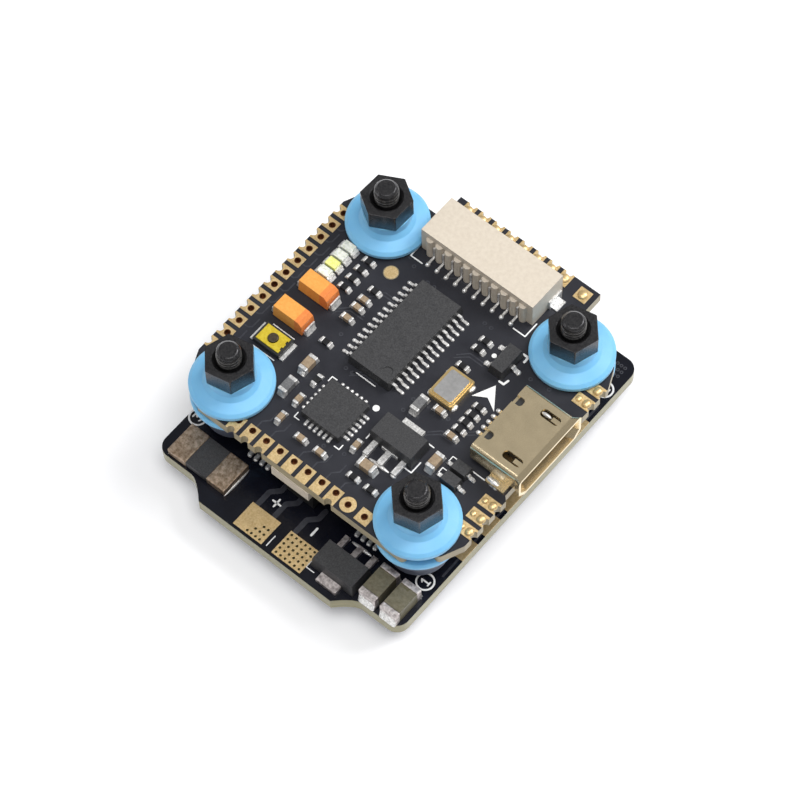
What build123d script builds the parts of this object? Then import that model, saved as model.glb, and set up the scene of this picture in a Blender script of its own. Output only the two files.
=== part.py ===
from build123d import *
import os
from math import atan2, cos, degrees, radians, sin, sqrt

# A bolted stack of two circuit boards: a small flight controller above a four-in-one speed controller.
# All lengths are in millimetres. The origin is the centre of the square bolt pattern, at the plane
# that the four screw heads rest on. +Z is up and +Y is the flight direction.

# ---- driving dimensions: hardware
BOLT_PITCH = 20.0  # side of the square bolt pattern
SCREW_R = 1.0
THREAD_RELIEF = 0.02  # the free thread above the nuts is this much smaller in radius
THREAD_OUT = 1.4  # how far it stands above the nuts
THREAD_CHAMFER = 0.2
HEAD_R = 1.9
HEAD_HEIGHT = 1.3
SOCKET_R = 0.75
SOCKET_DEPTH = 0.6
NUT_ACROSS_FLATS = 4.0
NUT_HEIGHT = 2.0
NUT_CORNER = 0.12
NUT_MOUTH = 0.4  # how much wider than its bore the nut's countersunk mouth is
NUT_MOUTH_DEPTH = 0.55
NUT_TURNS = [12, 14, 12, 28]  # degrees, one for each corner
SCREW_GAP = 0.04  # between a screw and what it passes through

# ---- driving dimensions: levels
FOOT_THICKNESS = 0.9  # lower grommet under the lower board
LOWER_THICKNESS = 1.3
BOARD_SPACE = 4.8  # free height between the two boards
UPPER_THICKNESS = 1.0
HUB_HEIGHT = 2.4  # upper grommet above the upper board
PAD_THICKNESS = 0.05

# ---- driving dimensions: grommets
UPPER_FLANGE_R = 3.65
FLANGE_CLEARANCE = 0.04  # between a flange and what stands beside it
UPPER_FLANGE_T = 0.8
UPPER_UNDER_T = 0.75
HUB_R = 2.1
LOWER_CROWN_R = 3.2
LOWER_BARREL_R = 2.65
LOWER_NECK_R = 1.95
FOOT_R = 2.6
UPPER_HOLE_R = 1.9
LOWER_HOLE_R = 1.6
GROMMET_GAP = 0.04  # between a grommet's waist and its board

# ---- driving dimensions: upper board outline, from the bolt pattern outwards
UPPER_MARGIN_X = 4.35
UPPER_MARGIN_Y = 3.35
SIDE_END = 0.7  # the straight side edges end this far short of the bolts
CORNER_END = 1.85
NOTCH_WIDTH = 2.1
LOBE_R = 0.45
TAB_LENGTH = 5.95  # from the cable socket's back to the tab's edge
TAB_LEFT = 0.6  # the tab's margins beside the cable socket
TAB_RIGHT = 2.55
RELIEF_WIDTH = 0.6
RELIEF_DEPTH = 1.0
USB_RECESS = 0.35
EDGE_PITCH = 1.5
EDGE_PAD_WIDTH = 1.1
EDGE_PAD_LENGTH = 1.3
REAR_PAD_LENGTH = 1.55
FRONT_PAD_LENGTH = 1.4
VIA_R = 0.3
VIA_INSET = 0.8  # from the side edge to a side pad's hole
REAR_VIA_INSET = 1.1
RING_INSET = 0.9
HALF_HOLE_R = 0.36

# ---- driving dimensions: lower board outline, from the bolt pattern outwards
LOWER_MARGIN_X = 3.3
LOWER_MARGIN_REAR = 6.5
LOWER_MARGIN_FRONT = 5.3
TAB_HALF_X = 7.2
TAB_OUT = 1.5
SHOULDER_X = 9.4
LOWER_CORNER_R = 1.2

# ---- driving dimensions: cable socket
CABLE_WAYS = 10
CABLE_PITCH = 1.0
CABLE_MARGIN = 1.5  # from an end contact to the housing's end
CABLE_DEPTH = 4.0
CABLE_HEIGHT = 2.95
CABLE_X = -0.3
CABLE_BACK = 0.05  # the socket's back is this far in front of the bolts
CABLE_WALL = 0.5
RIB_WIDTH = 0.72
RIB_HEIGHT = 2.3

# ---- driving dimensions: micro socket
USB_WIDTH = 7.5
USB_HEIGHT = 2.6
USB_DEPTH = 5.0
USB_SHEET = 0.25
USB_OVERHANG = 0.75  # past the board's edge, without the flared lip
USB_Y = 0.7
USB_CORNER = 0.7
USB_EDGE_R = 0.45
USB_LIP = 0.35
USB_FLARE = 0.28
USB_PITCH = 0.65
CONTACT_PROUD = 0.08

# ---- driving dimensions: push button
BUTTON_X = -9.95
BUTTON_Y = -4.85
BUTTON_LENGTH = 2.9
BUTTON_WIDTH = 2.0
BUTTON_HEIGHT = 0.6
PLUNGER_R = 0.45
PLUNGER_TRAVEL = 0.15  # it stands this far above the cover
PLUNGER_GAP = 0.04
PLUNGER_FLANGE = 0.15
PLUNGER_FLANGE_T = 0.1
COVER_THICKNESS = 0.12
DOME_THICKNESS = 0.05
BUTTON_FLOOR = 0.15

# ---- levels worked out from the above
Z_LOWER = HEAD_HEIGHT + FOOT_THICKNESS
Z_LOWER_TOP = Z_LOWER + LOWER_THICKNESS
Z_UPPER = Z_LOWER_TOP + BOARD_SPACE
Z_TOP = Z_UPPER + UPPER_THICKNESS
Z_NUT = Z_TOP + HUB_HEIGHT
HALF_PITCH = BOLT_PITCH / 2
UPPER_HALF_X = HALF_PITCH + UPPER_MARGIN_X
UPPER_HALF_Y = HALF_PITCH + UPPER_MARGIN_Y
SIDE_STRAIGHT_Y = HALF_PITCH - SIDE_END
CABLE_WIDTH = (CABLE_WAYS - 1) * CABLE_PITCH + 2 * CABLE_MARGIN
FLANGE_REACH = UPPER_FLANGE_R + FLANGE_CLEARANCE
CABLE_BESIDE = HALF_PITCH - CABLE_WIDTH / 2 - abs(CABLE_X)  # sideways from a bolt to the socket
CABLE_REAR_Y = HALF_PITCH + max(CABLE_BACK, sqrt(max(0, FLANGE_REACH**2 - max(0, CABLE_BESIDE) ** 2)))
TAB_FRONT_Y = CABLE_REAR_Y + TAB_LENGTH
TAB_LEFT_X = CABLE_X - CABLE_WIDTH / 2 - TAB_LEFT
TAB_RIGHT_X = CABLE_X + CABLE_WIDTH / 2 + TAB_RIGHT
LOWER_HALF_X = HALF_PITCH + LOWER_MARGIN_X
LOWER_REAR_Y = -HALF_PITCH - LOWER_MARGIN_REAR
LOWER_FRONT_Y = HALF_PITCH + LOWER_MARGIN_FRONT
TAB_REAR_Y = LOWER_REAR_Y - TAB_OUT
USB_FRONT_X = UPPER_HALF_X - USB_RECESS + USB_OVERHANG
USB_REAR_X = USB_FRONT_X - USB_DEPTH
CORNERS = [(x * HALF_PITCH, y * HALF_PITCH) for x, y in ((-1, -1), (1, -1), (1, 1), (-1, 1))]

PARTS = {}


def keep(name, *shapes):
    """Stores one named node made of separate solids."""
    solids = []
    for shape in shapes:
        solids += shape.solids()
    PARTS[name] = Compound(label=name, children=solids)


def block(x, y, z, length, width, height):
    """A box centred on x, y that stands on z."""
    return Pos(x, y, z + height / 2) * Box(length, width, height)


def post(x, y, z, radius, height):
    """A cylinder that stands on z."""
    return Pos(x, y, z + height / 2) * Cylinder(radius, height)


def turned(points):
    """A solid of revolution about Z from its half outline of (radius, height) points."""
    wire = Polyline([(r, 0, z) for r, z in points] + [(points[0][0], 0, points[0][1])])
    return revolve(make_face(wire), Axis.Z)


def at_corners(shape):
    return [Pos(x, y, 0) * shape for x, y in CORNERS]


def prism(points, z, height):
    """An upright prism on an outline of (x, y) points."""
    face = make_face(Polyline([(x, y) for x, y in points] + [points[0]]))
    return Pos(0, 0, z) * extrude(face, height)


def row(first, count, pitch):
    return [first + i * pitch for i in range(count)]


# ---- hardware


def make_screws():
    nut_top = Z_NUT + NUT_HEIGHT
    thread_r = SCREW_R - THREAD_RELIEF
    tip = nut_top + THREAD_OUT
    outline = [
        (thread_r, tip - THREAD_CHAMFER),
        (thread_r, nut_top),
        (SCREW_R, nut_top),
        (SCREW_R, HEAD_HEIGHT),
        (HEAD_R, HEAD_HEIGHT),
        (HEAD_R, 0),
        (0, 0),
        (0, tip),
        (thread_r - THREAD_CHAMFER, tip),
    ]
    screw = turned(outline) - extrude(RegularPolygon(SOCKET_R, 6), SOCKET_DEPTH)
    keep("screws", *at_corners(screw))


def make_nuts():
    hexagon = RegularPolygon(NUT_ACROSS_FLATS / 2, 6, major_radius=False)
    nut = Pos(0, 0, Z_NUT) * extrude(fillet(hexagon.vertices(), NUT_CORNER), NUT_HEIGHT)
    nut -= post(0, 0, Z_NUT, SCREW_R + SCREW_GAP, NUT_HEIGHT)
    mouth = turned(
        [
            (0, Z_NUT + NUT_HEIGHT),
            (SCREW_R + SCREW_GAP + NUT_MOUTH, Z_NUT + NUT_HEIGHT),
            (SCREW_R + SCREW_GAP, Z_NUT + NUT_HEIGHT - NUT_MOUTH_DEPTH),
            (0, Z_NUT + NUT_HEIGHT - NUT_MOUTH_DEPTH),
        ]
    )
    nut -= mouth
    keep("nuts", *[Pos(x, y, 0) * Rot(0, 0, turn) * nut for (x, y), turn in zip(CORNERS, NUT_TURNS)])


def make_upper_grommets():
    bore = SCREW_R + SCREW_GAP
    waist = UPPER_HOLE_R - GROMMET_GAP
    seat = Z_TOP + PAD_THICKNESS
    rim = seat + UPPER_FLANGE_T
    under = Z_UPPER - UPPER_UNDER_T
    outline = [
        (bore, under),
        (UPPER_FLANGE_R - 0.2, under),
        (UPPER_FLANGE_R, under + 0.25),
        (UPPER_FLANGE_R, Z_UPPER - 0.2),
        (UPPER_FLANGE_R - 0.15, Z_UPPER),
        (waist, Z_UPPER),
        (waist, seat),
        (UPPER_FLANGE_R - 0.15, seat),
        (UPPER_FLANGE_R, seat + 0.2),
        (UPPER_FLANGE_R, rim - 0.25),
        (UPPER_FLANGE_R - 0.3, rim),
        (HUB_R + 0.35, rim + 0.3),
        (HUB_R, rim + 0.75),
        (HUB_R, Z_NUT),
        (bore, Z_NUT),
    ]
    keep("upper_grommets", *at_corners(turned(outline)))


def make_lower_grommets():
    bore = SCREW_R + SCREW_GAP
    waist = LOWER_HOLE_R - GROMMET_GAP
    top = Z_UPPER - UPPER_UNDER_T
    outline = [
        (bore, HEAD_HEIGHT),
        (FOOT_R, HEAD_HEIGHT),
        (FOOT_R, Z_LOWER),
        (waist, Z_LOWER),
        (waist, Z_LOWER_TOP),
        (LOWER_NECK_R, Z_LOWER_TOP),
        (LOWER_NECK_R, Z_LOWER_TOP + 0.6),
        (LOWER_BARREL_R - 0.2, Z_LOWER_TOP + 0.9),
        (LOWER_BARREL_R, Z_LOWER_TOP + 1.2),
        (LOWER_BARREL_R, top - 1.3),
        (LOWER_CROWN_R, top - 0.9),
        (LOWER_CROWN_R, top - 0.25),
        (LOWER_CROWN_R - 0.25, top),
        (bore, top),
    ]
    keep("lower_grommets", *at_corners(turned(outline)))


# ---- upper board

SIDE_PADS_Y = row(-8.1, 12, EDGE_PITCH)
REAR_PADS_X = row(-7.3, 8, EDGE_PITCH)
RING_PAD = (4.65, -UPPER_HALF_Y + RING_INSET)
SQUARE_PAD = (6.4, -UPPER_HALF_Y + RING_INSET)
MOTOR_SIDE_PADS_Y = [-8.1, -6.6, -5.1, 7.1, 8.6]
FRONT_PADS_X = row(-5.55, 8, EDGE_PITCH)
CORNER_PAD = (TAB_RIGHT_X - 1.1, TAB_FRONT_Y - 1.0)
SIDE_VIA_X = -UPPER_HALF_X + VIA_INSET
REAR_VIA_Y = -UPPER_HALF_Y + REAR_VIA_INSET
USB_EDGE_Y = (USB_Y - USB_WIDTH / 2 - 0.65, USB_Y + USB_WIDTH / 2 + 1.15)


def upper_outline():
    far_x, far_y = UPPER_HALF_X, UPPER_HALF_Y
    recess_x = UPPER_HALF_X - USB_RECESS
    end_x = far_x - CORNER_END
    return [
        (-far_x, -SIDE_STRAIGHT_Y),
        (-end_x, -far_y),
        (end_x, -far_y),
        (far_x, -SIDE_STRAIGHT_Y),
        (far_x, USB_EDGE_Y[0] - USB_RECESS),
        (recess_x, USB_EDGE_Y[0]),
        (recess_x, USB_EDGE_Y[1]),
        (far_x, USB_EDGE_Y[1] + USB_RECESS),
        (far_x, SIDE_STRAIGHT_Y),
        (end_x, far_y),
        (TAB_RIGHT_X, far_y),
        (TAB_RIGHT_X, TAB_FRONT_Y),
        (TAB_LEFT_X, TAB_FRONT_Y),
        (TAB_LEFT_X, far_y - RELIEF_DEPTH),
        (TAB_LEFT_X - RELIEF_WIDTH, far_y - RELIEF_DEPTH),
        (TAB_LEFT_X - RELIEF_WIDTH, far_y),
        (-end_x, far_y),
        (-far_x, SIDE_STRAIGHT_Y),
    ]


def upper_vias():
    """Centres of the drilled holes in the edge pads."""
    side = [(SIDE_VIA_X, y) for y in SIDE_PADS_Y]
    rear = [(x, REAR_VIA_Y) for x in REAR_PADS_X]
    return side + rear + [RING_PAD, SQUARE_PAD]


def half_holes():
    """Centres of the plated half holes on the board's edges."""
    side = [(-UPPER_HALF_X, y) for y in SIDE_PADS_Y]
    rear_places = REAR_PADS_X[:3] + REAR_PADS_X[-1:]
    rear = [(x, -UPPER_HALF_Y) for x in rear_places]
    front = [(x, TAB_FRONT_Y) for x in FRONT_PADS_X]
    motor = [(UPPER_HALF_X, y) for y in MOTOR_SIDE_PADS_Y]
    return side + rear + front + motor


def drill(shape, places, radius, z, height):
    tools = [post(x, y, z, radius, height) for x, y in places]
    return shape - tools


def round_lobes(board):
    """Rounds the tips that each corner slot leaves on the board."""
    tips = []
    for edge in board.edges().filter_by(Axis.Z):
        x, y = edge.center().X, edge.center().Y
        for bolt_x, bolt_y in CORNERS:
            outwards = degrees(atan2(bolt_y, bolt_x))
            along = (x - bolt_x) * cos(radians(outwards)) + (y - bolt_y) * sin(radians(outwards))
            across = (y - bolt_y) * cos(radians(outwards)) - (x - bolt_x) * sin(radians(outwards))
            if along > UPPER_HOLE_R and abs(abs(across) - NOTCH_WIDTH / 2) < 0.01:
                tips.append(edge)
    return fillet(tips, LOBE_R)


def make_upper_board():
    board = prism(upper_outline(), Z_UPPER, UPPER_THICKNESS)
    middle = Z_UPPER + UPPER_THICKNESS / 2
    reach = 2 * UPPER_MARGIN_X  # the corner slot runs from the bolt's axis to past the corner
    for x, y in CORNERS:
        board -= post(x, y, Z_UPPER, UPPER_HOLE_R, UPPER_THICKNESS)
        outwards = degrees(atan2(y, x))
        slot = Pos(x, y, middle) * Rot(0, 0, outwards) * Pos(reach / 2, 0, 0)
        board -= slot * Box(reach, NOTCH_WIDTH, UPPER_THICKNESS)
    board = round_lobes(board)
    board = drill(board, upper_vias(), VIA_R, Z_UPPER, UPPER_THICKNESS)
    board = drill(board, half_holes(), HALF_HOLE_R, Z_UPPER, UPPER_THICKNESS)
    keep("upper_board", board)


def make_upper_pads():
    pads = []
    for y in SIDE_PADS_Y:
        middle = -UPPER_HALF_X + EDGE_PAD_LENGTH / 2
        pads.append(block(middle, y, Z_TOP, EDGE_PAD_LENGTH, EDGE_PAD_WIDTH, PAD_THICKNESS))
    for x in REAR_PADS_X:
        middle = -UPPER_HALF_Y + REAR_PAD_LENGTH / 2
        pads.append(block(x, middle, Z_TOP, EDGE_PAD_WIDTH, REAR_PAD_LENGTH, PAD_THICKNESS))
    pads.append(post(*RING_PAD, Z_TOP, 0.72, PAD_THICKNESS))
    pads.append(block(*SQUARE_PAD, Z_TOP, 1.3, 1.3, PAD_THICKNESS))
    for y in MOTOR_SIDE_PADS_Y:
        pads.append(block(UPPER_HALF_X - 0.85, y, Z_TOP, 1.7, EDGE_PAD_WIDTH, PAD_THICKNESS))
    for x in FRONT_PADS_X:
        middle = TAB_FRONT_Y - FRONT_PAD_LENGTH / 2
        pads.append(block(x, middle, Z_TOP, EDGE_PAD_WIDTH, FRONT_PAD_LENGTH, PAD_THICKNESS))
    pads.append(block(*CORNER_PAD, Z_TOP, 1.25, 1.25, PAD_THICKNESS))
    pads.append(post(-6.7, 6.5, Z_TOP, 0.6, PAD_THICKNESS))
    cut = []
    for x, y in upper_vias():
        cut.append(post(x, y, Z_TOP, VIA_R, PAD_THICKNESS))
    for x, y in half_holes():
        cut.append(post(x, y, Z_TOP, HALF_HOLE_R, PAD_THICKNESS))
    for x, y in CORNERS:
        cut.append(post(x, y, Z_TOP, UPPER_HOLE_R, PAD_THICKNESS))
    drilled = []
    for pad in pads:
        box = pad.bounding_box()
        near = [c for c in cut if touches(box, c.bounding_box())]
        drilled.append(pad - near if near else pad)
    keep("upper_board_pads", *drilled)


def touches(a, b):
    apart_x = a.min.X > b.max.X or b.min.X > a.max.X
    apart_y = a.min.Y > b.max.Y or b.min.Y > a.max.Y
    return not (apart_x or apart_y)


# ---- chips with leads


def gull_lead(reach, rise, foot, width, thickness):
    """A bent lead that leaves a body at height rise along +X and stands on its foot at z 0."""
    points = [
        (0, rise),
        (reach - foot - rise * 0.35, rise),
        (reach - foot, thickness),
        (reach, thickness),
        (reach, 0),
        (reach - foot - thickness, 0),
        (reach - foot - thickness - rise * 0.35, rise - thickness),
        (0, rise - thickness),
    ]
    face = make_face(Polyline([(x, 0, z) for x, z in points] + [(points[0][0], 0, points[0][1])]))
    return Pos(0, width / 2, 0) * extrude(face, width, dir=(0, -1, 0))


def moulded(length, width, height, draft=0.12):
    """A moulded body with slightly drawn-in top, standing on z 0."""
    base = Rectangle(length, width)
    top = Pos(0, 0, height) * Rectangle(length - 2 * draft, width - 2 * draft)
    return loft([base, top])


LEAD_ROOT = 0.15  # a lead starts this far inside its moulded body
OVERLAY_X, OVERLAY_Y = -1.72, 2.48
SENSOR_X, SENSOR_Y = -1.62, -6.65
REGULATOR_X, REGULATOR_Y = 4.3, -5.5


def make_overlay_chip():
    length, width, height, stand = 9.7, 4.4, 1.0, 0.08
    body = Pos(OVERLAY_X, OVERLAY_Y, Z_TOP + stand) * Rot(0, 0, 90) * moulded(length, width, height)
    dimple = post(OVERLAY_X + 1.3, OVERLAY_Y - 3.85, Z_TOP + stand + height - 0.08, 0.45, 0.2)
    lead = gull_lead(1.0 + LEAD_ROOT, 0.5, 0.5, 0.24, 0.13)
    leads = []
    for y in row(OVERLAY_Y - 0.65 * 6.5, 14, 0.65):
        leads.append(Pos(OVERLAY_X + width / 2 - LEAD_ROOT, y, Z_TOP) * lead)
        leads.append(Pos(OVERLAY_X - width / 2 + LEAD_ROOT, y, Z_TOP) * Rot(0, 0, 180) * lead)
    keep("overlay_chip", body - dimple - leads)
    keep("overlay_chip_leads", *leads)


def make_motion_sensor():
    side, height = 4.0, 0.85
    pads = []
    for i in range(6):
        offset = (i - 2.5) * 0.5
        for turn in range(4):
            pad = block(side / 2 + 0.12, offset, Z_TOP, 0.6, 0.25, 0.1)
            pads.append(Pos(SENSOR_X, SENSOR_Y, 0) * Rot(0, 0, 90 * turn) * pad)
    body = block(SENSOR_X, SENSOR_Y, Z_TOP, side, side, height)
    spot = post(SENSOR_X + 1.5, SENSOR_Y + 1.45, Z_TOP + height - 0.03, 0.2, 0.1)
    keep("motion_sensor", body - pads - spot)
    keep("motion_sensor_pads", *pads)


def tab_regulator(x, y, z, turn):
    """A three-lead power regulator with a wide tab: body and leads."""
    place = Pos(x, y, z) * Rot(0, 0, turn)
    body = Pos(0, 0, 0.06) * moulded(4.5, 2.5, 1.44, 0.14)
    leads = [block(dx, -1.9, 0, 0.5, 1.5, 0.4) for dx in (-1.5, 1.5)]
    tab = block(0, 0.3, 0, 1.7, 3.2, 0.4) + block(0, 1.55, 0, 2.1, 1.0, 0.4)
    leads.append(block(0, -1.9, 0, 0.55, 1.5, 0.4) + tab)
    body = body - leads
    return place * body, [place * lead for lead in leads]


def make_regulators():
    body, leads = tab_regulator(REGULATOR_X, REGULATOR_Y, Z_TOP, 0)
    keep("upper_regulator", body)
    keep("upper_regulator_leads", *leads)
    body, leads = tab_regulator(6.15, TAB_REAR_Y + 2.65, Z_LOWER_TOP, 180)
    keep("lower_regulator", body)
    keep("lower_regulator_leads", *leads)


def make_small_regulator():
    x, y = 6.33, 5.8
    body = Pos(x, y, Z_TOP + 0.05) * Rot(0, 0, 90) * moulded(2.9, 1.5, 1.05, 0.12)
    lead = gull_lead(0.65 + LEAD_ROOT, 0.45, 0.35, 0.42, 0.13)
    leads = [Pos(x + 0.75 - LEAD_ROOT, y, Z_TOP) * lead]
    leads += [Pos(x - 0.75 + LEAD_ROOT, y + dy, Z_TOP) * Rot(0, 0, 180) * lead for dy in (-0.95, 0.95)]
    keep("small_regulator", body - leads)
    keep("small_regulator_leads", *leads)


def make_crystal():
    x, y = 4.4, 1.05
    base = block(x, y, Z_TOP, 2.5, 3.2, 0.55)
    rim = block(x, y, Z_TOP + 0.55, 2.3, 3.0, 0.1)
    middle = block(x, y, Z_TOP + 0.65, 2.0, 2.7, 0.1)
    keep("crystal_base", fillet(base.edges().filter_by(Axis.Z), 0.2))
    lid = fillet(rim.edges().filter_by(Axis.Z), 0.2) + fillet(middle.edges().filter_by(Axis.Z), 0.2)
    keep("crystal_lid", lid)


def make_processor():
    """The main chip on the upper board's underside, with pads on four sides."""
    side, height = 7.0, 0.85
    x, y, z = 5.0, 1.0, Z_UPPER - 0.85
    pads = []
    for i in range(12):
        for turn in range(4):
            pad = block(side / 2 + 0.1, (i - 5.5) * 0.5, Z_UPPER - 0.1, 0.6, 0.25, 0.1)
            pads.append(Pos(x, y, 0) * Rot(0, 0, 90 * turn) * pad)
    keep("processor", block(x, y, z, side, side, height) - pads)
    keep("processor_pads", *pads)


# ---- two-ended parts on the upper board

RESISTORS = [
    (-8.75, 6.05, 0),
    (-8.75, 5.0, 0),
    (-8.75, 3.92, 0),
    (-8.75, 2.85, 0),
    (-6.5, 4.15, 0),
    (-6.5, -2.15, 0),
    (3.75, 6.35, 0),
    (3.75, 5.35, 0),
    (3.75, 3.3, 0),
    (7.3, 1.15, 0),
    (7.3, 0.27, 0),
    (7.3, -0.6, 0),
    (7.3, -1.47, 0),
    (3.4, -10.3, 0),
    (5.25, -10.3, 0),
    (-4.75, -5.35, 90),
]
SMALL_CAPACITORS = [
    (-6.6, 2.92, 0),
    (-6.6, 2.0, 0),
    (-6.6, 0.7, 0),
    (7.2, -2.37, 0),
    (4.95, -1.15, 0),
    (1.75, -7.95, 90),
    (-2.2, -10.35, 0),
    (-0.15, -10.35, 0),
    (-4.7, -7.7, 90),
    (-4.75, -9.9, 90),
]
LARGE_CAPACITORS = [(-6.2, -4.75, 90), (3.7, -8.95, 0), (7.75, -5.1, 90)]
BEADS = [(-6.2, -7.35, 90), (3.35, -1.8, 90)]
SMALL_CHIP = (1.1, 0.55)
LARGE_CHIP = (1.65, 0.85)
POWER_CHIP = (3.3, 1.75)
POWER_CAPACITORS = [(LOWER_HALF_X - inset, LOWER_REAR_Y + 1.85, 90) for inset in (3.6, 1.35)]


def chips(places, size, z, height, cap, proud=0.02):
    """Bodies and end caps of two-ended parts: (x, y, turn) places, (length, width) size."""
    length, width = size
    bodies, caps = [], []
    for x, y, turn in places:
        place = Pos(x, y, 0) * Rot(0, 0, turn)
        inner = length - 2 * cap
        bodies.append(place * block(0, 0, z + proud, inner, width - 2 * proud, height - 2 * proud))
        for side in (-1, 1):
            end = block(side * (length - cap) / 2, 0, z, cap, width, height)
            end = fillet(end.edges(), min(0.08, height / 5))
            caps.append(place * end)
    return bodies, caps


def make_chips():
    bodies, ends = chips(RESISTORS, SMALL_CHIP, Z_TOP, 0.35, 0.27)
    keep("resistors", *bodies)
    keep("resistor_ends", *ends)
    bodies, ends = chips(SMALL_CAPACITORS, SMALL_CHIP, Z_TOP, 0.52, 0.27)
    keep("small_capacitors", *bodies)
    keep("small_capacitor_ends", *ends)
    bodies, ends = chips(LARGE_CAPACITORS, LARGE_CHIP, Z_TOP, 0.8, 0.35)
    keep("large_capacitors", *bodies)
    keep("large_capacitor_ends", *ends)
    bodies, ends = chips(BEADS, LARGE_CHIP, Z_TOP, 0.75, 0.35)
    keep("beads", *bodies)
    keep("bead_ends", *ends)
    bodies, ends = chips(POWER_CAPACITORS, POWER_CHIP, Z_LOWER_TOP, 1.6, 0.55)
    keep("power_capacitors", *bodies)
    keep("power_capacitor_ends", *ends)


TANTALUMS = [(-10.05, 1.1), (-10.1, -2.1)]


def make_tantalums():
    bodies, ends = [], []
    for x, y in TANTALUMS:
        body = Pos(x, y, Z_TOP + 0.1) * moulded(3.2, 1.65, 1.5, 0.08)
        body = chamfer(body.edges().group_by(Axis.Z)[-1].sort_by(Axis.X)[-1], 0.35)
        for side in (-1, 1):
            foot = block(x + side * 1.5, y, Z_TOP, 0.7, 1.2, 0.3)
            end = foot + block(x + side * 1.78, y, Z_TOP, 0.14, 1.2, 0.8)
            body = body - end
            ends.append(end)
        bodies.append(body)
    keep("tantalum_bodies", *bodies)
    keep("tantalum_terminals", *ends)


DIODE_X = 9.85
DIODE_Y = -HALF_PITCH + FLANGE_REACH + 1.15 / 2 + 0.115
DIODES = [(DIODE_X, DIODE_Y + 1.32), (DIODE_X, DIODE_Y)]


def make_diodes():
    bodies, ends = [], []
    for x, y in DIODES:
        body = Pos(x, y, Z_TOP + 0.05) * moulded(1.6, 1.15, 0.8, 0.08)
        lead = gull_lead(0.5 + LEAD_ROOT, 0.4, 0.3, 0.35, 0.12)
        pair = [Pos(x + 0.8 - LEAD_ROOT, y, Z_TOP) * lead]
        pair.append(Pos(x - 0.8 + LEAD_ROOT, y, Z_TOP) * Rot(0, 0, 180) * lead)
        bodies.append(body - pair)
        ends += pair
    keep("diode_bodies", *bodies)
    keep("diode_leads", *ends)


LAMPS_Y = [5.92, 4.9, 3.88, 2.86]
LAMP_X = -10.9


def make_lamps():
    bases, lenses, ends = [], [], []
    for y in LAMPS_Y:
        bases.append(block(LAMP_X, y, Z_TOP, 1.1, 0.82, 0.28))
        lenses.append(block(LAMP_X, y, Z_TOP + 0.28, 1.1, 0.82, 0.35))
        for side in (-1, 1):
            ends.append(block(LAMP_X + side * 0.68, y, Z_TOP, 0.26, 0.82, 0.3))
    keep("lamp_bases", *bases)
    keep("lamp_lenses", *lenses)
    keep("lamp_ends", *ends)


# ---- push button


def make_button():
    cavity_length = BUTTON_LENGTH - 0.9
    cavity_width = BUTTON_WIDTH - 0.6
    base = block(BUTTON_X, BUTTON_Y, Z_TOP, BUTTON_LENGTH, BUTTON_WIDTH, BUTTON_HEIGHT)
    base -= block(BUTTON_X, BUTTON_Y, Z_TOP + BUTTON_FLOOR, cavity_length, cavity_width, BUTTON_HEIGHT)
    keep("button_base", base)
    cover_z = Z_TOP + BUTTON_HEIGHT
    cover_length = BUTTON_LENGTH - 0.45
    cover = block(BUTTON_X, BUTTON_Y, cover_z, cover_length, BUTTON_WIDTH - 0.35, COVER_THICKNESS)
    cover -= post(BUTTON_X, BUTTON_Y, cover_z, PLUNGER_R + PLUNGER_GAP, COVER_THICKNESS)
    for dy in (-0.35, 0.35):
        cover -= block(BUTTON_X + cover_length / 2, BUTTON_Y + dy, cover_z, 0.25, 0.3, COVER_THICKNESS)
    keep("button_cover", cover)
    flange_z = cover_z - PLUNGER_GAP - PLUNGER_FLANGE_T
    top = cover_z + COVER_THICKNESS + PLUNGER_TRAVEL
    plunger = post(BUTTON_X, BUTTON_Y, flange_z, PLUNGER_R, top - flange_z)
    plunger = fillet(plunger.edges().group_by(Axis.Z)[-1], 0.06)
    plunger += post(BUTTON_X, BUTTON_Y, flange_z, PLUNGER_R + PLUNGER_FLANGE, PLUNGER_FLANGE_T)
    keep("button_plunger", plunger)
    dome_length = cavity_length - 2 * PLUNGER_GAP
    dome_width = cavity_width - 2 * PLUNGER_GAP
    floor = Z_TOP + BUTTON_FLOOR
    keep("button_contact", block(BUTTON_X, BUTTON_Y, floor, dome_length, dome_width, DOME_THICKNESS))
    ends = []
    for side in (-1, 1):
        ends.append(block(BUTTON_X + side * (BUTTON_LENGTH / 2 + 0.17), BUTTON_Y, Z_TOP, 0.34, 1.9, 0.15))
    keep("button_terminals", *ends)


# ---- micro socket


def shell_section(x, z, width, height, corner):
    """The micro socket's cross-section at x: a flat top, with the lower corners cut off."""
    half = width / 2
    points = [
        (x, USB_Y - half + corner, z),
        (x, USB_Y + half - corner, z),
        (x, USB_Y + half, z + corner),
        (x, USB_Y + half, z + height),
        (x, USB_Y - half, z + height),
        (x, USB_Y - half, z + corner),
    ]
    return make_face(Polyline(points + [points[0]]))


def shell_stretch(x0, x1, inset, flare):
    """The shell's section from x0 to x1, drawn in by inset and growing by flare at its front."""
    near, far = USB_WIDTH - 2 * inset, USB_WIDTH - 2 * inset + 2 * flare
    tall = USB_HEIGHT - 2 * inset
    back = shell_section(x0, Z_TOP + inset, near, tall, USB_CORNER)
    front = shell_section(x1, Z_TOP + inset, far, tall + flare, USB_CORNER)
    return fillet_top(loft([back, front]), USB_EDGE_R - inset)


def fillet_top(stretch, radius):
    sides = [e for e in stretch.edges() if e.bounding_box().size.X > 0.9 * stretch.bounding_box().size.X]
    highest = ShapeList(sides).sort_by(Axis.Z)[-2:]
    return fillet(highest, radius)


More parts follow.
